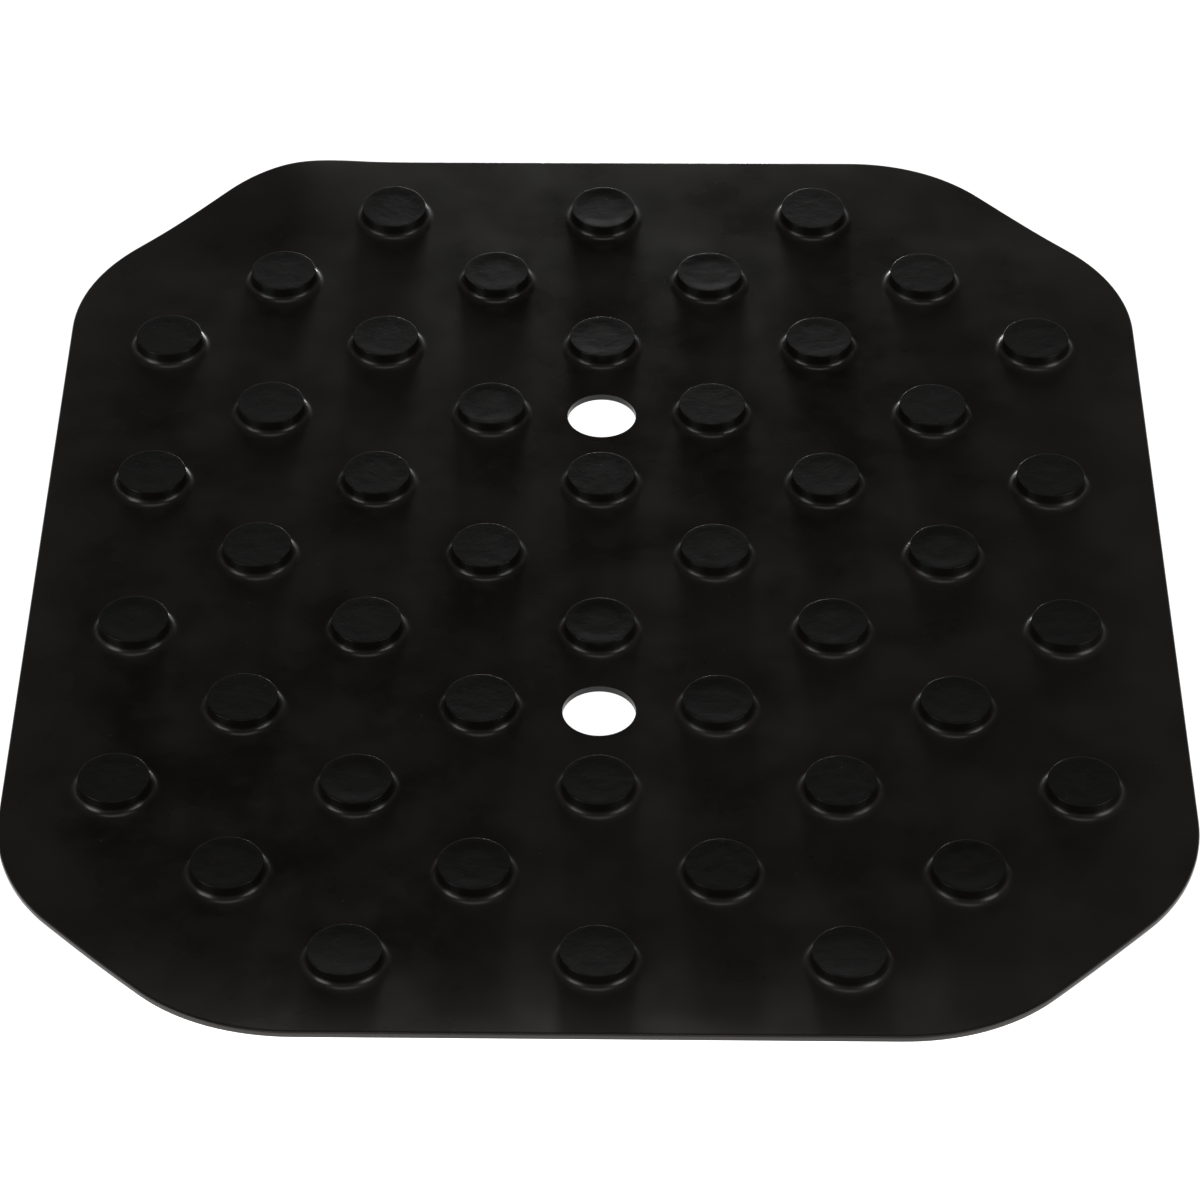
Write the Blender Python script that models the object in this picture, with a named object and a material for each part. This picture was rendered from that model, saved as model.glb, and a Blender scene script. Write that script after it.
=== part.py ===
"""A studded rubber stomp pad, as sold: one rubber moulding, the foam adhesive sheet that bonds it to a
snowboard, and the release liner under the adhesive, slit across the middle into two halves.

The origin is the middle of the liner's underside. +Z points up out of the studs, and +Y runs along the
pad's length. The layers lie on each other, with LAYER_GAP between their solids.
"""

import math

import bmesh
import bpy

MM = 0.001

# The pad's plan is a rectangle with its four corners cut off at 45 degrees and rounded where they meet
# the sides.
PAD_WIDTH = 148 * MM
PAD_LENGTH = 176 * MM
CORNER_CUT = 27.5 * MM
CORNER_RADIUS = 26 * MM
CORNER_SEGMENTS = 5

# The rubber moulding: a thin sheet with round studs and two through holes.
SHEET_THICKNESS = 1.0 * MM
SHEET_EDGE_RADIUS = 0.25 * MM
STUD_GRID = 15 * MM
COLUMNS_EACH_SIDE = 4
ROWS_EACH_SIDE = 5
STUD_RADIUS = 4.5 * MM
STUD_HEIGHT = 2.1 * MM
STUD_DRAFT = 0.1 * MM
STUD_EDGE_RADIUS = 0.15 * MM
STUD_FILLET = 0.9 * MM
STUD_SIDES = 20
FILLET_SEGMENTS = 2
HOLE_ROW = 2
HOLE_RADIUS = 4.65 * MM
HOLE_SIDES = 32

# The layers under the rubber.
LAYER_GAP = 0.3 * MM
ADHESIVE_THICKNESS = 0.5 * MM
ADHESIVE_INSET = 2.0 * MM
ADHESIVE_HOLE_RADIUS = HOLE_RADIUS + ADHESIVE_INSET
LINER_THICKNESS = 0.2 * MM
LINER_INSET = 1.0 * MM
LINER_HOLE_RADIUS = HOLE_RADIUS + LINER_INSET
LINER_SLIT = 0.3 * MM

LINER_TOP = LINER_THICKNESS
ADHESIVE_BOTTOM = LINER_TOP + LAYER_GAP
SHEET_BOTTOM = ADHESIVE_BOTTOM + ADHESIVE_THICKNESS + LAYER_GAP

SMOOTH_ANGLE = math.radians(40)

RUBBER = ("rubber", (0.012, 0.011, 0.010), 0.38)
ADHESIVE = ("foam_adhesive", (0.70, 0.70, 0.68), 0.75)
LINER = ("liner_paper", (0.80, 0.79, 0.75), 0.55)


def clear_scene():
    for old in list(bpy.data.objects):
        bpy.data.objects.remove(old)


def material(name, colour, roughness):
    made = bpy.data.materials.new(name)
    made.use_nodes = True
    shader = made.node_tree.nodes["Principled BSDF"]
    shader.inputs["Base Color"].default_value = (*colour, 1)
    shader.inputs["Roughness"].default_value = roughness
    shader.inputs["Metallic"].default_value = 0
    return made


def circle(centre, radius, sides):
    turns = [math.tau * step / sides for step in range(sides)]
    return [(centre[0] + radius * math.cos(a), centre[1] + radius * math.sin(a)) for a in turns]


def corner_centres():
    """Centres of the eight rounded corners, anticlockwise from the one just above the +X side."""
    cut_line = PAD_WIDTH / 2 + PAD_LENGTH / 2 - CORNER_CUT - CORNER_RADIUS * math.sqrt(2)
    side = PAD_WIDTH / 2 - CORNER_RADIUS
    end = PAD_LENGTH / 2 - CORNER_RADIUS
    quarter = [(side, cut_line - side), (cut_line - end, end)]
    rear = quarter + [(-x, y) for x, y in reversed(quarter)]
    return rear + [(-x, -y) for x, y in rear]


def outline(inset):
    """The pad's plan, moved inwards by inset, anticlockwise from the rear end of the +X side."""
    radius = CORNER_RADIUS - inset
    points = []
    for corner, (x, y) in enumerate(corner_centres()):
        for step in range(CORNER_SEGMENTS + 1):
            angle = math.radians(45) * (corner + step / CORNER_SEGMENTS)
            points.append((x + radius * math.cos(angle), y + radius * math.sin(angle)))
    return points


def half_outline(inset, side):
    """The half of the plan behind the liner's slit if side is 1, and in front of it if side is -1."""
    edge = PAD_WIDTH / 2 - inset
    points = outline(inset)
    rear = [(edge, LINER_SLIT / 2), *points[: len(points) // 2], (-edge, LINER_SLIT / 2)]
    return [(side * x, side * y) for x, y in rear]


def stud_centres():
    """Every other point of the grid, row by row, leaving out those that the cut corners take away."""
    cut_line = PAD_WIDTH / 2 + PAD_LENGTH / 2 - CORNER_CUT - 2 * STUD_RADIUS
    return [
        (column * STUD_GRID, row * STUD_GRID)
        for row in range(-ROWS_EACH_SIDE, ROWS_EACH_SIDE + 1)
        for column in range(-COLUMNS_EACH_SIDE, COLUMNS_EACH_SIDE + 1)
        if (row + column) % 2 and (abs(row) + abs(column)) * STUD_GRID < cut_line
    ]


def hole_centres():
    return [(0, -HOLE_ROW * STUD_GRID), (0, HOLE_ROW * STUD_GRID)]


def add_loop(bm, points, z):
    """A closed loop of edges through the points at height z."""
    verts = [bm.verts.new((x, y, z)) for x, y in points]
    return [bm.edges.new((verts[i - 1], verts[i])) for i in range(len(verts))]


def add_walls(bm, levels):
    """Faces between each loop of points and the next. levels lists (points, z), and the first and last
    loops come back, open for a plate or a cap."""
    loops = [add_loop(bm, points, z) for points, z in levels]
    for lower, upper in zip(loops, loops[1:]):
        bmesh.ops.bridge_loops(bm, edges=lower + upper)
    return loops[0], loops[-1]


def fill(bm, loops):
    """A flat face inside the first loop, open inside the others."""
    edges = [edge for loop in loops for edge in loop]
    bmesh.ops.triangle_fill(bm, use_beauty=True, edges=edges)


def add_node(name, bm, finish):
    bmesh.ops.recalc_face_normals(bm, faces=bm.faces)
    mesh = bpy.data.meshes.new(name)
    bm.to_mesh(mesh)
    bm.free()
    mesh.shade_smooth()
    mesh.set_sharp_from_angle(angle=SMOOTH_ANGLE)
    mesh.materials.append(finish)
    node = bpy.data.objects.new(name, mesh)
    bpy.context.scene.collection.objects.link(node)
    return node


def make_plate(name, finish, plan, holes, bottom, thickness):
    """A flat layer with the plan's outline. holes lists (centre, radius)."""
    bm = bmesh.new()
    top = bottom + thickness
    plans = [plan] + [circle(centre, radius, HOLE_SIDES) for centre, radius in holes]
    walls = [add_walls(bm, [(points, bottom), (points, top)]) for points in plans]
    fill(bm, [lower for lower, upper in walls])
    fill(bm, [upper for lower, upper in walls])
    return add_node(name, bm, finish)


def sheet_edge():
    """The sheet's outer edge from bottom to top, as (inset, z), with its two corners broken."""
    top = SHEET_BOTTOM + SHEET_THICKNESS
    return [
        (SHEET_EDGE_RADIUS, SHEET_BOTTOM),
        (0, SHEET_BOTTOM + SHEET_EDGE_RADIUS),
        (0, top - SHEET_EDGE_RADIUS),
        (SHEET_EDGE_RADIUS, top),
    ]


def stud_profile():
    """A stud's side from the sheet to its top, as (radius, z): the fillet, the drafted wall and the
    broken top edge."""
    base = SHEET_BOTTOM + SHEET_THICKNESS
    top = base + STUD_HEIGHT
    foot = STUD_RADIUS + STUD_DRAFT
    profile = []
    for step in range(FILLET_SEGMENTS + 1):
        angle = math.radians(90) * step / FILLET_SEGMENTS
        reach = STUD_FILLET * (1 - math.sin(angle))
        rise = STUD_FILLET * (1 - math.cos(angle))
        profile.append((foot + reach, base + rise))
    profile.append((STUD_RADIUS, top - STUD_EDGE_RADIUS))
    profile.append((STUD_RADIUS - STUD_EDGE_RADIUS, top))
    return profile


def make_rubber_pad():
    """The moulding: the sheet, its two holes, and the studs that grow out of it."""
    bm = bmesh.new()
    under, over = [], []
    bottom, top = add_walls(bm, [(outline(inset), z) for inset, z in sheet_edge()])
    under.append(bottom)
    over.append(top)
    for centre in hole_centres():
        rim = circle(centre, HOLE_RADIUS, HOLE_SIDES)
        bottom, top = add_walls(bm, [(rim, SHEET_BOTTOM), (rim, SHEET_BOTTOM + SHEET_THICKNESS)])
        under.append(bottom)
        over.append(top)
    for centre in stud_centres():
        levels = [(circle(centre, radius, STUD_SIDES), z) for radius, z in stud_profile()]
        foot, crown = add_walls(bm, levels)
        over.append(foot)
        fill(bm, [crown])
    fill(bm, under)
    fill(bm, over)
    return add_node("rubber_pad", bm, material(*RUBBER))


def make_adhesive_sheet():
    """The foam adhesive, cut back from the rubber's edge and from its holes."""
    holes = [(centre, ADHESIVE_HOLE_RADIUS) for centre in hole_centres()]
    plan = outline(ADHESIVE_INSET)
    return make_plate("adhesive_sheet", material(*ADHESIVE), plan, holes, ADHESIVE_BOTTOM, ADHESIVE_THICKNESS)


def make_release_liner():
    """The two halves of the liner, which reach past the adhesive so that a finger can lift them."""
    paper = material(*LINER)
    for name, side, centre in zip(("release_liner_front", "release_liner_rear"), (-1, 1), hole_centres()):
        holes = [(centre, LINER_HOLE_RADIUS)]
        make_plate(name, paper, half_outline(LINER_INSET, side), holes, 0, LINER_THICKNESS)


def main():
    clear_scene()
    make_rubber_pad()
    make_adhesive_sheet()
    make_release_liner()


main()
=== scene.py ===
"""The looks of a studded rubber stomp pad: a rubber moulding on a foam adhesive sheet, with a paper release
liner in two halves under the adhesive.

Each layer is built flat and bent afterwards by rise(), because a soft pad that lies loose lifts a little at
its ends. The layers lie on each other here, where the frame keeps a gap between them. Left and right, front
and rear are as the camera sees them.
"""

import math
import random

import bmesh
import bpy
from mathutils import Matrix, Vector
from mathutils.geometry import delaunay_2d_cdt


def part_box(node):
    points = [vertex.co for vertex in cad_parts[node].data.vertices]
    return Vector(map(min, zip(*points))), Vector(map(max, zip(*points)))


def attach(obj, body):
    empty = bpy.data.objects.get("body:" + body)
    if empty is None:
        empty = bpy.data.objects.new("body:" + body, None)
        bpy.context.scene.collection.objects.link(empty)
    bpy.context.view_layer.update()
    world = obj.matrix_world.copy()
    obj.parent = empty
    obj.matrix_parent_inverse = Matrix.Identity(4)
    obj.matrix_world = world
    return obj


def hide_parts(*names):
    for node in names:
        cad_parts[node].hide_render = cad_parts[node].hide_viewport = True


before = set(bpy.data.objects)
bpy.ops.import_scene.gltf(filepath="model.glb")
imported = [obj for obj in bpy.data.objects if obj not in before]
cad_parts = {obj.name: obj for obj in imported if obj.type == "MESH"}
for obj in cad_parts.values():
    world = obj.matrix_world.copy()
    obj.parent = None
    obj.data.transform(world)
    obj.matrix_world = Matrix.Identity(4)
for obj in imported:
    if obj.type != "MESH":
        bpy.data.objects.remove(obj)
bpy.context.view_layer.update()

MM = 0.001
SEED = 11


def frame_size(node):
    low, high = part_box(node)
    return high - low


# Sizes that come from the frame.
PAD_WIDTH, PAD_LENGTH, PAD_THICKNESS = frame_size("rubber_pad")
FOAM_THICKNESS = frame_size("adhesive_sheet").z
FOAM_INSET = (PAD_WIDTH - frame_size("adhesive_sheet").x) / 2
LINER_THICKNESS = frame_size("release_liner_rear").z
LINER_INSET = (PAD_WIDTH - frame_size("release_liner_rear").x) / 2
LINER_SLIT = 2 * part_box("release_liner_rear")[0].y

# The layers' heights. A hair between them keeps their faces apart.
HAIR = 0.01 * MM
FOAM_BOTTOM = LINER_THICKNESS + HAIR
SHEET_BOTTOM = FOAM_BOTTOM + FOAM_THICKNESS + HAIR
SHEET_THICKNESS = 1.0 * MM
SHEET_TOP = SHEET_BOTTOM + SHEET_THICKNESS
STUD_TOP = SHEET_BOTTOM + PAD_THICKNESS

# The plan: a rectangle with its corners cut off at 45 degrees and rounded where they meet the sides.
CORNER_CUT = 27.5 * MM
CORNER_RADIUS = 26 * MM
CORNER_SEGMENTS = 16
EDGE_STEP = 1.5 * MM
SHEET_EDGE = 0.3 * MM
UNDER_MARGIN = (1.5 * MM, 0.6 * MM)
TOP_MARGIN = (0.5 * MM, 1 * MM, 2 * MM)

# The studs and the holes stand on a square grid of cells.
CELL = 15 * MM
CELL_SEGMENTS = 12
COLUMNS_EACH_SIDE = 4
ROWS_EACH_SIDE = 5
CELLS_TO_CORNER = 7
STUD_FOOT = 4.6 * MM
STUD_RADIUS = 4.5 * MM
STUD_FILLET = 1.1 * MM
STUD_EDGE = 0.07 * MM
STUD_DISH = 0.05 * MM
HOLES = ((0, -2), (0, 2))
HOLE_RADIUS = 4.65 * MM
HOLE_EDGE = 0.1 * MM
FOAM_HOLLOW = 0.08 * MM

# The spacing of the triangles that fill the flat faces.
TOP_SPACING = 1.4 * MM
UNDER_SPACING = 5 * MM
LINER_SPACING = 4 * MM

# How far the ends and the rear left corner rise off the floor, and how much wider the rear margin is than
# the front one.
RISE_START = 70 * MM
FRONT_RISE = 1.4 * MM
FRONT_RISE_LEAN = 0.4 * MM
REAR_RISE = 0.2 * MM
REAR_STRETCH = 1.2 * MM
CORNER_RISE = 1.2 * MM
CORNER_RISE_X = -47 * MM
CORNER_RISE_LEFT = 13 * MM
CORNER_RISE_RIGHT = 6 * MM
CORNER_RISE_START = 62 * MM
CORNER_RISE_END = 88 * MM

# Azimuths are in degrees from the rear, turning to the right, and elevations in degrees.
CAMERA_TARGET_Y = -11 * MM
CAMERA_DISTANCE = 598.4 * MM
CAMERA_AZIMUTH = 179.67
CAMERA_ELEVATION = 40.71
CAMERA_LENS = 138.87

# The lamps: azimuth, elevation, distance, width, height and power in watts. The rear one is a small lamp
# low behind the pad, which the sheet mirrors as streaks between the studs.
SOFTBOXES = {
    "left_softbox": (-123, 12, 0.9, 0.5, 0.36, 2.0),
    "right_softbox": (123, 12, 0.9, 0.5, 0.36, 2.0),
    "front_softbox": (180, 58, 1.0, 0.9, 0.35, 1.2),
    "rear_light": (0, 3.5, 0.35, 0.07, 0.015, 0.18),
}

# The sky's brightness by its height, the sine of the elevation. It is scaled by a factor that grows from
# SKY_ASIDE to SKY_BEHIND while the Y of its direction grows from SKY_EDGE to SKY_MIDDLE.
SKY_LEVELS = ((0.0, 1.0), (0.14, 0.9), (0.3, 0.22), (0.6, 0.03))
SKY_EDGE, SKY_MIDDLE = 0.75, 0.97
SKY_ASIDE, SKY_BEHIND = 0.15, 1.1

FLOOR_REACH = 5

# Material numbers in the moulding's mesh.
SHEET, TREAD = 0, 1


# ---- the curl ----


def smoothstep(low, high, value):
    share = min(max((value - low) / (high - low), 0), 1)
    return share * share * (3 - 2 * share)


def rise(x, y):
    """Height that the pad's curl adds at a point of its plan."""
    if y < 0:
        end = max(-y - RISE_START, 0) / (PAD_LENGTH / 2 - RISE_START)
        return (FRONT_RISE - FRONT_RISE_LEAN * x / (PAD_WIDTH / 2)) * end**2
    off_corner = x - CORNER_RISE_X
    off_corner /= CORNER_RISE_LEFT if off_corner < 0 else CORNER_RISE_RIGHT
    corner = CORNER_RISE * math.exp(-(off_corner**2) / 2) * smoothstep(CORNER_RISE_START, CORNER_RISE_END, y)
    return corner + REAR_RISE * smoothstep(RISE_START, PAD_LENGTH / 2, y)


# ---- plans: loops of (x, y), anticlockwise ----


def circle(centre, radius, sides=4 * CELL_SEGMENTS):
    """A circle that starts at its front left, as cell_square does."""
    turns = [math.tau * (step / sides - 3 / 8) for step in range(sides)]
    return [(centre[0] + radius * math.cos(a), centre[1] + radius * math.sin(a)) for a in turns]


def to_side(x, y):
    """Distance from a point of the plan to the line of its nearest side or cut corner."""
    side, end = PAD_WIDTH / 2 - abs(x), PAD_LENGTH / 2 - abs(y)
    return min(side, end, (side + end - CORNER_CUT) / math.sqrt(2))


def sides_of(loop):
    return list(zip(loop, loop[1:] + loop[:1]))


def divided(loop, step=EDGE_STEP):
    """The loop with its long sides divided into equal steps."""
    points = []
    for (x0, y0), (x1, y1) in sides_of(loop):
        count = max(1, math.ceil(round(math.hypot(x1 - x0, y1 - y0) / step, 3)))
        points += [(x0 + (x1 - x0) * i / count, y0 + (y1 - y0) * i / count) for i in range(count)]
    return points


def corner_centres():
    """Centres of the eight rounded corners, from the one just behind the middle of the right side."""
    cut_line = PAD_WIDTH / 2 + PAD_LENGTH / 2 - CORNER_CUT - CORNER_RADIUS * math.sqrt(2)
    side = PAD_WIDTH / 2 - CORNER_RADIUS
    end = PAD_LENGTH / 2 - CORNER_RADIUS
    quarter = [(side, cut_line - side), (cut_line - end, end)]
    rear = quarter + [(-x, y) for x, y in reversed(quarter)]
    return rear + [(-x, -y) for x, y in rear]


def corner_arcs(inset):
    """The points of the eight rounded corners, moved inwards by inset."""
    radius = CORNER_RADIUS - inset
    points = []
    for corner, (x, y) in enumerate(corner_centres()):
        for step in range(CORNER_SEGMENTS + 1):
            angle = math.radians(45) * (corner + step / CORNER_SEGMENTS)
            points.append((x + radius * math.cos(angle), y + radius * math.sin(angle)))
    return points


def outline(inset):
    """The pad's plan, moved inwards by inset. Every inset gives the same number of points."""
    return divided(corner_arcs(inset))


def half_outline(inset, side):
    """The plan's half behind the liner's slit if side is 1, and in front of it if side is -1."""
    edge = PAD_WIDTH / 2 - inset
    points = corner_arcs(inset)
    rear = [(edge, LINER_SLIT / 2), *points[: len(points) // 2], (-edge, LINER_SLIT / 2)]
    return divided([(side * x, side * y) for x, y in rear])


def cell_centre(cell):
    return cell[0] * CELL, cell[1] * CELL


def cell_square(cell):
    (x, y), half = cell_centre(cell), CELL / 2
    corners = [(x - half, y - half), (x + half, y - half), (x + half, y + half), (x - half, y + half)]
    return divided(corners, CELL / CELL_SEGMENTS)


def all_cells():
    """Column and row of each grid cell that lies wholly inside the pad's edge."""
    return [
        (column, row)
        for row in range(-ROWS_EACH_SIDE, ROWS_EACH_SIDE + 1)
        for column in range(-COLUMNS_EACH_SIDE, COLUMNS_EACH_SIDE + 1)
        if abs(column) + abs(row) <= CELLS_TO_CORNER
    ]


def has_stud(cell):
    return (cell[0] + cell[1]) % 2 == 1


def in_cells(x, y):
    column, row = abs(round(x / CELL)), abs(round(y / CELL))
    return column <= COLUMNS_EACH_SIDE and row <= ROWS_EACH_SIDE and column + row <= CELLS_TO_CORNER


def cells_outline():
    """The stepped loop round all the cells: the sides that only one cell has."""
    sides = set()
    for cell in all_cells():
        square = [(round(x, 7), round(y, 7)) for x, y in cell_square(cell)]
        for start, end in sides_of(square):
            if (end, start) in sides:
                sides.remove((end, start))
            else:
                sides.add((start, end))
    following = dict(sides)
    loop = [min(following)]
    while following[loop[-1]] != loop[0]:
        loop.append(following[loop[-1]])
    return loop


def in_loop(x, y, loop):
    crossings = 0
    for (x0, y0), (x1, y1) in sides_of(loop):
        if (y0 > y) != (y1 > y) and x < x0 + (x1 - x0) * (y - y0) / (y1 - y0):
            crossings += 1
    return crossings % 2 == 1


def mixed(loop, other, share):
    """The loop between two loops of the same length, share of the way from the first."""
    pairs = zip(loop, other)
    return [(x0 + (x1 - x0) * share, y0 + (y1 - y0) * share) for (x0, y0), (x1, y1) in pairs]


# ---- profiles: lists of (radius or inset, z) ----


def arc(centre, radius, start, end, steps):
    """Part of a circle round the centre, between two angles in degrees from the first coordinate's axis."""
    angles = [math.radians(start + (end - start) * step / steps) for step in range(steps + 1)]
    return [(centre[0] + radius * math.cos(a), centre[1] + radius * math.sin(a)) for a in angles]


def rim_profile():
    """The sheet's outer edge, from under the pad to its top, as (inset, z)."""
    low = arc((SHEET_EDGE, SHEET_BOTTOM + SHEET_EDGE), SHEET_EDGE, 270, 180, 4)
    high = arc((SHEET_EDGE, SHEET_TOP - SHEET_EDGE), SHEET_EDGE, 180, 90, 4)
    under = [(inset, SHEET_BOTTOM) for inset in UNDER_MARGIN]
    over = [(inset, SHEET_TOP) for inset in TOP_MARGIN]
    return [*under, *low, *high, *over]


def hole_profile():
    """A hole's wall from the top down, as (radius, z)."""
    radius = HOLE_RADIUS + HOLE_EDGE
    high = arc((radius, SHEET_TOP - HOLE_EDGE), HOLE_EDGE, 90, 180, 4)
    low = arc((radius, SHEET_BOTTOM + HOLE_EDGE), HOLE_EDGE, 180, 270, 3)
    return [(radius + HOLE_EDGE, SHEET_TOP), *high, *low]


def stud_profile():
    """A stud's side from the sheet to its top, as (radius, z)."""
    foot = arc((STUD_FOOT + STUD_FILLET, SHEET_TOP + STUD_FILLET), STUD_FILLET, 270, 180, 9)
    edge = arc((STUD_RADIUS - STUD_EDGE, STUD_TOP - STUD_EDGE), STUD_EDGE, 0, 90, 6)
    return [(STUD_FOOT + 1.15 * STUD_FILLET, SHEET_TOP), *foot, *edge]


def tread_profile(dish):
    """A stud's slightly hollow top, from its edge to near its middle, as (radius, z)."""
    outer = STUD_RADIUS - STUD_EDGE
    shares = (0.97, 0.92, 0.84, 0.72, 0.6, 0.48, 0.34, 0.2, 0.08)
    return [(outer * share, STUD_TOP - dish * smoothstep(1, 0.55, share)) for share in shares]


# ---- meshes ----


class Solid:
    """Points and faces gathered loop by loop, then welded, bent and made into an object."""

    def __init__(self):
        self.points, self.faces, self.finishes = [], [], []
        self.notes = {}

    def loop(self, plan, z, **notes):
        first = len(self.points)
        self.points += [(x, y, z) for x, y in plan]
        added = list(range(first, len(self.points)))
        for name, value in notes.items():
            self.notes.setdefault(name, {}).update(dict.fromkeys(added, value))
        return added

    def face(self, corners, finish=SHEET):
        self.faces.append(corners)
        self.finishes.append(finish)

    def bands(self, loops, finish=SHEET):
        """Quads between each loop of points and the next."""
        for lower, upper in zip(loops, loops[1:]):
            for i in range(len(lower)):
                self.face((lower[i - 1], lower[i], upper[i], upper[i - 1]), finish)

    def fan(self, loop, middle, finish=SHEET):
        """Triangles from a loop to a point in its middle."""
        for i in range(len(loop)):
            self.face((loop[i - 1], loop[i], middle), finish)

    def fill(self, loops, z, spacing, left_out):
        """Triangles at height z inside the first loop. The others border the places where left_out(x, y)
        is true."""
        points = [point for loop in loops for point in loop]
        sides, first = [], 0
        for loop in loops:
            sides += [(first + i, first + (i + 1) % len(loop)) for i in range(len(loop))]
            first += len(loop)
        points += lattice(loops[0], spacing, left_out)
        plan = [Vector(point) for point in points]
        plan, _, faces, *_ = delaunay_2d_cdt(plan, sides, [], 1, HAIR / 10, False)
        used = self.loop([tuple(point) for point in plan], z)
        for corners in faces:
            first, second, third = (plan[i] for i in corners)
            middle = (first + second + third) / 3
            sliver = abs((second - first).cross(third - first)) < HAIR * spacing
            if not sliver and not left_out(*middle):
                self.face([used[i] for i in corners])

    def made(self, name, finishes):
        """The object: loops that meet are welded, faces point out, and the curl is applied."""
        mesh = bpy.data.meshes.new(name)
        mesh.from_pydata(self.points, [], self.faces)
        mesh.polygons.foreach_set("material_index", self.finishes)
        for note, values in self.notes.items():
            attribute = mesh.attributes.new(note, "FLOAT", "POINT")
            for index, value in values.items():
                attribute.data[index].value = value
        bm = bmesh.new()
        bm.from_mesh(mesh)
        bmesh.ops.remove_doubles(bm, verts=bm.verts, dist=HAIR / 5)
        bmesh.ops.delete(bm, geom=[v for v in bm.verts if not v.link_faces], context="VERTS")
        bmesh.ops.recalc_face_normals(bm, faces=bm.faces)
        for vert in bm.verts:
            vert.co.z += rise(vert.co.x, vert.co.y)
            vert.co.y += REAR_STRETCH * smoothstep(RISE_START, PAD_LENGTH / 2, vert.co.y)
        bm.to_mesh(mesh)
        bm.free()
        mesh.shade_smooth()
        for finish in finishes:
            mesh.materials.append(finish)
        piece = bpy.data.objects.new(name, mesh)
        bpy.context.scene.collection.objects.link(piece)
        piece.modifiers.new("flat faces stay flat", "WEIGHTED_NORMAL")
        return piece


def lattice(border, spacing, left_out):
    """Points of a triangular lattice well inside the border and clear of what is left out."""
    low_x, low_y = (min(point[axis] for point in border) for axis in (0, 1))
    high_x, high_y = (max(point[axis] for point in border) for axis in (0, 1))
    margin = 0.6 * spacing
    turns = [math.tau * step / 8 for step in range(8)]
    round_about = [(margin * math.cos(a), margin * math.sin(a)) for a in turns]
    points, row, y = [], 0, low_y
    while y < high_y:
        x = low_x + (row % 2) * spacing / 2
        while x < high_x:
            near = [(x + dx, y + dy) for dx, dy in round_about]
            if all(in_loop(*point, border) and not left_out(*point) for point in near):
                points.append((x, y))
            x += spacing
        y += spacing * math.sqrt(3) / 2
        row += 1
    return points


def in_circles(x, y, circles):
    return any(math.hypot(x - centre[0], y - centre[1]) < radius for centre, radius in circles)


def wall_shade_share(z):
    """Share of the sheet's painted shade: 0 on the sheet, growing to 1 up a stud's fillet, and 1 on a hole's
    wall.
    """
    if z < SHEET_TOP:
        return 1
    return smoothstep(SHEET_TOP + 0.2 * STUD_FILLET, SHEET_TOP + STUD_FILLET, z)


def add_plain_cell(solid, cell):
    """Flat sheet over one grid cell, in square rings round its middle."""
    centre, square = cell_centre(cell), cell_square(cell)
    loops = []
    for ring in range(CELL_SEGMENTS // 2):
        plan = mixed(square, [centre] * len(square), 2 * ring / CELL_SEGMENTS)
        loops.append(solid.loop(plan, SHEET_TOP))
    solid.bands(loops)
    solid.fan(loops[-1], solid.loop([centre], SHEET_TOP)[0])


def add_round_cell(solid, cell, profile):
    """Sheet over one grid cell, with a stud or a hole of that profile in its middle. It returns the
    profile's last loop."""
    centre = cell_centre(cell)
    square, foot = cell_square(cell), circle(centre, profile[0][0])
    loops = [solid.loop(mixed(square, foot, share), SHEET_TOP) for share in (0, 0.3, 0.6, 0.85)]
    loops += [solid.loop(circle(centre, radius), z, wall=wall_shade_share(z)) for radius, z in profile]
    solid.bands(loops)
    return loops[-1]


def add_tread(solid, cell, edge, dice):
    """A stud's top inside its edge, hollowed a little more or less. The notes are each point's distance
    from the middle in millimetres, and a tone of the stud's own."""
    centre = cell_centre(cell)
    tone = dice.random()
    profile = tread_profile(STUD_DISH * (0.4 + 1.6 * dice.random() ** 2))
    loops = [solid.loop(circle(centre, radius), z, middle=radius / MM, tone=tone) for radius, z in profile]
    solid.bands([edge, *loops], TREAD)
    solid.fan(loops[-1], solid.loop([centre], profile[-1][1], middle=0, tone=tone)[0], TREAD)


def add_cell(solid, cell, dice):
    """The moulding's top over one grid cell: a stud, a hole through to the underside, or plain sheet."""
    if cell in HOLES:
        add_round_cell(solid, cell, hole_profile())
    elif has_stud(cell):
        edge = add_round_cell(solid, cell, stud_profile())
        add_tread(solid, cell, edge, dice)
    else:
        add_plain_cell(solid, cell)


def make_moulding(finishes):
    solid, dice = Solid(), random.Random(SEED)
    rim = rim_profile()
    solid.bands([solid.loop(outline(inset), z) for inset, z in rim])
    inner = outline(rim[-1][0])
    solid.fill([inner, cells_outline()], SHEET_TOP, TOP_SPACING, in_cells)
    for cell in all_cells():
        add_cell(solid, cell, dice)
    under = outline(rim[0][0])
    mouths = [(cell_centre(hole), HOLE_RADIUS + HOLE_EDGE) for hole in HOLES]
    rims = [circle(*mouth) for mouth in mouths]
    solid.fill([under, *rims], SHEET_BOTTOM, UNDER_SPACING, lambda x, y: in_circles(x, y, mouths))
    solid.notes["to_side"] = {index: to_side(x, y) / MM for index, (x, y, _) in enumerate(solid.points)}
    return solid.made("moulded_rubber", finishes)


def make_layer(name, finish, plan, holes, profile, spacing):
    """A flat layer. plan(inset) is its outline and profile lists (inset, z) from its bottom to its top."""
    solid = Solid()
    solid.bands([solid.loop(plan(inset), z) for inset, z in profile])
    for centre, radius in holes:
        solid.bands([solid.loop(circle(centre, radius + inset - profile[0][0]), z) for inset, z in profile])
    rims = [circle(*hole) for hole in holes]
    for inset, z in (profile[0], profile[-1]):
        solid.fill([plan(inset), *rims], z, spacing, lambda x, y: in_circles(x, y, holes))
    return solid.made(name, [finish])


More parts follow.
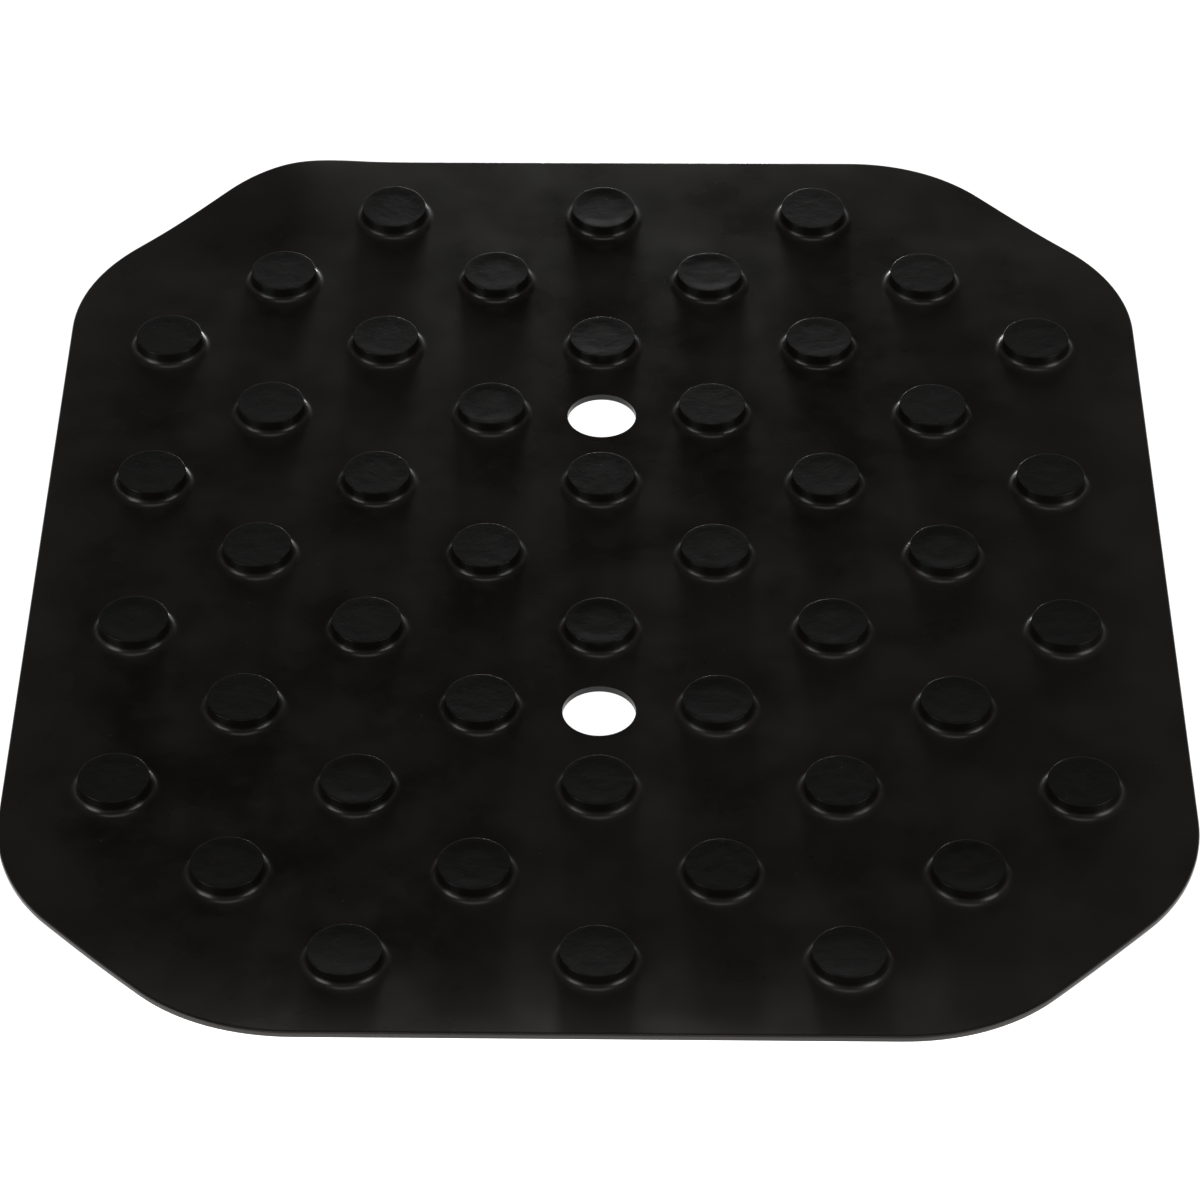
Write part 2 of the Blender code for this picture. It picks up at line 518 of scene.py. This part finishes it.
def make_foam(finish):
    bottom, top = FOAM_BOTTOM, FOAM_BOTTOM + FOAM_THICKNESS
    profile = [(FOAM_INSET, bottom), (FOAM_INSET + FOAM_HOLLOW, (bottom + top) / 2), (FOAM_INSET, top)]
    holes = [(cell_centre(hole), HOLE_RADIUS + FOAM_INSET) for hole in HOLES]
    return make_layer("foam_adhesive", finish, outline, holes, profile, UNDER_SPACING)


def make_liner_half(name, finish, side, hole):
    profile = [(LINER_INSET, 0), (LINER_INSET, LINER_THICKNESS)]
    holes = [(cell_centre(hole), HOLE_RADIUS + LINER_INSET)]
    return make_layer(name, finish, lambda inset: half_outline(inset, side), holes, profile, LINER_SPACING)


# ---- materials ----


class Finish:
    """A material, built node by node round its Principled shader."""

    def __init__(self, name):
        self.material = bpy.data.materials.new(name)
        self.material.use_nodes = True
        self.nodes = self.material.node_tree.nodes
        self.links = self.material.node_tree.links
        self.shader = self.nodes["Principled BSDF"]
        self.place = self.nodes.new("ShaderNodeTexCoord").outputs["Object"]

    def set(self, **sockets):
        for name, value in sockets.items():
            self.shader.inputs[name.replace("_", " ")].default_value = value

    def plug(self, socket, value):
        if isinstance(value, bpy.types.NodeSocket):
            self.links.new(value, socket)
        else:
            socket.default_value = value

    def noise(self, scale, detail=3, roughness=0.5, stretch=None):
        node = self.nodes.new("ShaderNodeTexNoise")
        node.inputs["Scale"].default_value = scale
        node.inputs["Detail"].default_value = detail
        node.inputs["Roughness"].default_value = roughness
        self.links.new(self.stretched(stretch) if stretch else self.place, node.inputs["Vector"])
        return node.outputs["Fac"]

    def stretched(self, stretch):
        node = self.nodes.new("ShaderNodeMapping")
        node.inputs["Scale"].default_value = stretch[:3]
        node.inputs["Rotation"].default_value = (0, 0, math.radians(stretch[3]))
        self.links.new(self.place, node.inputs["Vector"])
        return node.outputs["Vector"]

    def specks(self, scale, radius, share):
        """Up to 1 on small dots of the given radius, and 0 elsewhere. scale is the pattern's, and share the
        part of its cells that have a dot."""
        node = self.nodes.new("ShaderNodeTexVoronoi")
        node.voronoi_dimensions = "2D"
        node.inputs["Scale"].default_value = scale
        self.links.new(self.place, node.inputs["Vector"])
        near = self.span(node.outputs["Distance"], radius * scale, 0.4 * radius * scale, 0, 1)
        pick = self.nodes.new("ShaderNodeSeparateColor")
        self.links.new(node.outputs["Color"], pick.inputs["Color"])
        chosen = self.maths("LESS_THAN", pick.outputs["Red"], share)
        size = self.span(pick.outputs["Green"], 0, 1, 0.25, 1)
        return self.maths("MULTIPLY", near, self.maths("MULTIPLY", chosen, size))

    def span(self, value, low, high, to_low, to_high):
        """The value's way from low to high, as one from to_low to to_high, held at both ends."""
        node = self.nodes.new("ShaderNodeMapRange")
        self.links.new(value, node.inputs["Value"])
        node.inputs["From Min"].default_value = low
        node.inputs["From Max"].default_value = high
        self.plug(node.inputs["To Min"], to_low)
        self.plug(node.inputs["To Max"], to_high)
        return node.outputs["Result"]

    def maths(self, operation, first, second):
        node = self.nodes.new("ShaderNodeMath")
        node.operation = operation
        self.plug(node.inputs[0], first)
        self.plug(node.inputs[1], second)
        return node.outputs["Value"]

    def blend(self, share, first, second):
        """The first colour where share is 0 and the second where it is 1."""
        node = self.nodes.new("ShaderNodeMix")
        node.data_type = "RGBA"
        self.plug(node.inputs["Factor"], share)
        self.plug(node.inputs[6], first)
        self.plug(node.inputs[7], second)
        return node.outputs[2]

    def note(self, name):
        node = self.nodes.new("ShaderNodeAttribute")
        node.attribute_name = name
        return node.outputs["Fac"]

    def bump(self, *heights):
        """Bumps over each other. heights lists (height value, its depth in metres)."""
        normal = None
        for value, depth in heights:
            node = self.nodes.new("ShaderNodeBump")
            node.inputs["Distance"].default_value = depth
            self.links.new(value, node.inputs["Height"])
            if normal:
                self.links.new(normal, node.inputs["Normal"])
            normal = node.outputs["Normal"]
        self.links.new(normal, self.shader.inputs["Normal"])

    def colour(self, value):
        self.links.new(value, self.shader.inputs["Base Color"])

    def roughness(self, value):
        self.links.new(value, self.shader.inputs["Roughness"])


def grey(level, warmth=0.0):
    return (level * (1 + warmth), level, level * (1 - warmth), 1)


def sheet_finish():
    """The moulding's satin side: nearly black rubber with painted light near its rim, clouded where it was
    handled, and with painted shade on the walls of the studs and holes."""
    finish = Finish("rubber_satin")
    clouds = finish.noise(80, detail=3, roughness=0.6)
    bands = finish.noise(26, detail=1, stretch=(1, 0.22, 1, 0))
    # Painted light: the colour grows lighter within 14 mm of the rim.
    painted_rim_light = finish.span(finish.note("to_side"), 0, 14, 0.8, 0)
    base = finish.blend(finish.span(clouds, 0.35, 0.65, 0, 1), grey(0.015, 0.16), grey(0.029, 0.13))
    # Painted reflection: lighter streaks running front to back in the colour, like the low rear light
    # mirrored along the sheet. The same noise also ripples the surface and its gloss.
    base = finish.blend(finish.span(bands, 0.4, 0.65, 0, 0.5), base, grey(0.031, 0.13))
    smudges = finish.span(finish.noise(260, detail=2), 0.5, 0.75, 0, 0.6)
    base = finish.blend(smudges, base, grey(0.036, 0.13))
    base = finish.blend(painted_rim_light, base, grey(0.034, 0.13))
    # Painted shade: the fillets and walls of the studs and the walls of the holes are made darker.
    base = finish.blend(finish.note("wall"), base, grey(0.006, 0.13))
    dust = finish.specks(130, 0.12 * MM, 0.2)
    finish.colour(finish.blend(dust, base, grey(0.15)))
    gloss = finish.span(clouds, 0.35, 0.7, 0.24, 0.33)
    gloss = finish.maths("ADD", gloss, finish.span(bands, 0.4, 0.65, 0, 0.04))
    finish.roughness(finish.maths("MAXIMUM", gloss, finish.maths("MULTIPLY", dust, 0.8)))
    finish.bump((bands, 0.25 * MM), (finish.noise(1500, detail=3), 0.003 * MM))
    finish.set(Specular_IOR_Level=0.4)
    return finish.material


def tread_finish():
    """The stud tops: the same rubber with a fine matt texture, no two alike, and with a paler, smoother
    middle."""
    finish = Finish("rubber_matt")
    mottle = finish.noise(600, detail=4, roughness=0.7)
    middle = finish.span(finish.note("middle"), 1.2, 2.6, 1, 0)
    base = finish.blend(finish.span(mottle, 0.3, 0.7, 0, 1), grey(0.006, 0.14), grey(0.011, 0.14))
    base = finish.blend(finish.maths("MULTIPLY", middle, 0.3), base, grey(0.015, 0.14))
    dust = finish.specks(400, 0.09 * MM, 0.2)
    finish.colour(finish.blend(dust, base, grey(0.15)))
    blotches = finish.noise(330, detail=2)
    gloss = finish.span(finish.note("tone"), 0, 1, 0.47, 0.55)
    gloss = finish.maths("ADD", gloss, finish.span(mottle, 0.3, 0.7, 0, 0.12))
    gloss = finish.maths("ADD", gloss, finish.span(blotches, 0.35, 0.65, -0.05, 0.05))
    finish.roughness(finish.maths("SUBTRACT", gloss, finish.maths("MULTIPLY", middle, 0.06)))
    finish.bump((mottle, 0.05 * MM))
    finish.set(Specular_IOR_Level=0.25)
    return finish.material


def foam_finish():
    """White closed-cell foam with its cut cells showing at the edge."""
    finish = Finish("white_foam")
    cells = finish.noise(3000, detail=2)
    finish.colour(finish.blend(finish.span(cells, 0.3, 0.7, 0, 1), grey(0.55, 0.03), grey(0.75, 0.03)))
    finish.set(Roughness=0.8, Subsurface_Weight=0.1)
    finish.bump((cells, 0.05 * MM))
    return finish.material


def liner_finish():
    """Coated white paper: faint fibres, cloudy thickness and soft handling creases."""
    finish = Finish("liner_paper")
    fibres = finish.noise(900, detail=5, roughness=0.7, stretch=(1, 0.35, 1, 20))
    clouds = finish.noise(120, detail=3)
    base = finish.blend(finish.span(clouds, 0.3, 0.7, 0, 1), grey(0.70, 0.02), grey(0.78, 0.03))
    finish.colour(finish.blend(finish.span(fibres, 0.55, 0.75, 0, 0.5), base, grey(0.6, 0.05)))
    finish.roughness(finish.span(fibres, 0.3, 0.7, 0.4, 0.55))
    finish.bump((finish.noise(30, detail=2), 0.3 * MM), (fibres, 0.01 * MM))
    return finish.material


# ---- the studio ----


def add_floor():
    """A light table: white acrylic, lit from below until it shows no shadow."""
    mesh = bpy.data.meshes.new("floor")
    z = -HAIR
    corners = [(-FLOOR_REACH, -FLOOR_REACH), (FLOOR_REACH, -FLOOR_REACH)]
    corners += [(-x, -y) for x, y in corners]
    mesh.from_pydata([(x, y, z) for x, y in corners], [], [(0, 1, 2, 3)])
    acrylic = Finish("floor_acrylic")
    acrylic.set(Base_Color=grey(0.8), Roughness=0.9, Emission_Color=grey(1), Emission_Strength=1.0)
    mesh.materials.append(acrylic.material)
    floor = bpy.data.objects.new("floor", mesh)
    bpy.context.scene.collection.objects.link(floor)


def add_aimed(name, data, target, azimuth, elevation, distance):
    """A lamp or camera at a distance from its target, looking at it."""
    a, e = math.radians(azimuth), math.radians(elevation)
    towards = Vector((math.sin(a) * math.cos(e), math.cos(a) * math.cos(e), math.sin(e)))
    aimed = bpy.data.objects.new(name, data)
    aimed.location = Vector(target) + towards * distance
    aimed.rotation_mode = "QUATERNION"
    aimed.rotation_quaternion = towards.to_track_quat("Z", "Y")
    bpy.context.scene.collection.objects.link(aimed)
    return aimed


def add_softboxes():
    for name, (azimuth, elevation, distance, width, height, power) in SOFTBOXES.items():
        lamp = bpy.data.lights.new(name, "AREA")
        lamp.shape = "RECTANGLE"
        lamp.size = width
        lamp.size_y = height
        lamp.energy = power
        add_aimed(name, lamp, (0, 0, 0), azimuth, elevation, distance)


def add_sky():
    """A studio that is white low down behind the pad, dim to the other sides and dark overhead."""
    world = bpy.data.worlds.new("studio")
    world.use_nodes = True
    nodes, links = world.node_tree.nodes, world.node_tree.links
    split = nodes.new("ShaderNodeSeparateXYZ")
    links.new(nodes.new("ShaderNodeTexCoord").outputs["Generated"], split.inputs["Vector"])
    ramp = nodes.new("ShaderNodeValToRGB")
    links.new(split.outputs["Z"], ramp.inputs["Fac"])
    stops = ramp.color_ramp.elements
    stops.remove(stops[1])
    for height, level in SKY_LEVELS:
        stop = stops.new(height) if height else stops[0]
        stop.color = grey(level)
    links.new(ramp.outputs["Color"], nodes["Background"].inputs["Color"])
    behind = nodes.new("ShaderNodeMapRange")
    behind.interpolation_type = "SMOOTHSTEP"
    links.new(split.outputs["Y"], behind.inputs["Value"])
    behind.inputs["From Min"].default_value = SKY_EDGE
    behind.inputs["From Max"].default_value = SKY_MIDDLE
    behind.inputs["To Min"].default_value = SKY_ASIDE
    behind.inputs["To Max"].default_value = SKY_BEHIND
    links.new(behind.outputs["Result"], nodes["Background"].inputs["Strength"])
    bpy.context.scene.world = world


def add_camera():
    lens = bpy.data.cameras.new("camera")
    lens.lens = CAMERA_LENS
    target = (0, CAMERA_TARGET_Y, STUD_TOP)
    camera = add_aimed("camera", lens, target, CAMERA_AZIMUTH, CAMERA_ELEVATION, CAMERA_DISTANCE)
    bpy.context.scene.camera = camera


def place(piece, node):
    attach(piece, "root")
    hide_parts(node)


def main():
    paper = liner_finish()
    place(make_moulding([sheet_finish(), tread_finish()]), "rubber_pad")
    place(make_foam(foam_finish()), "adhesive_sheet")
    place(make_liner_half("liner_front_half", paper, -1, HOLES[0]), "release_liner_front")
    place(make_liner_half("liner_rear_half", paper, 1, HOLES[1]), "release_liner_rear")
    add_floor()
    add_sky()
    add_softboxes()
    add_camera()
    bpy.context.scene.view_settings.view_transform = "Standard"


main()
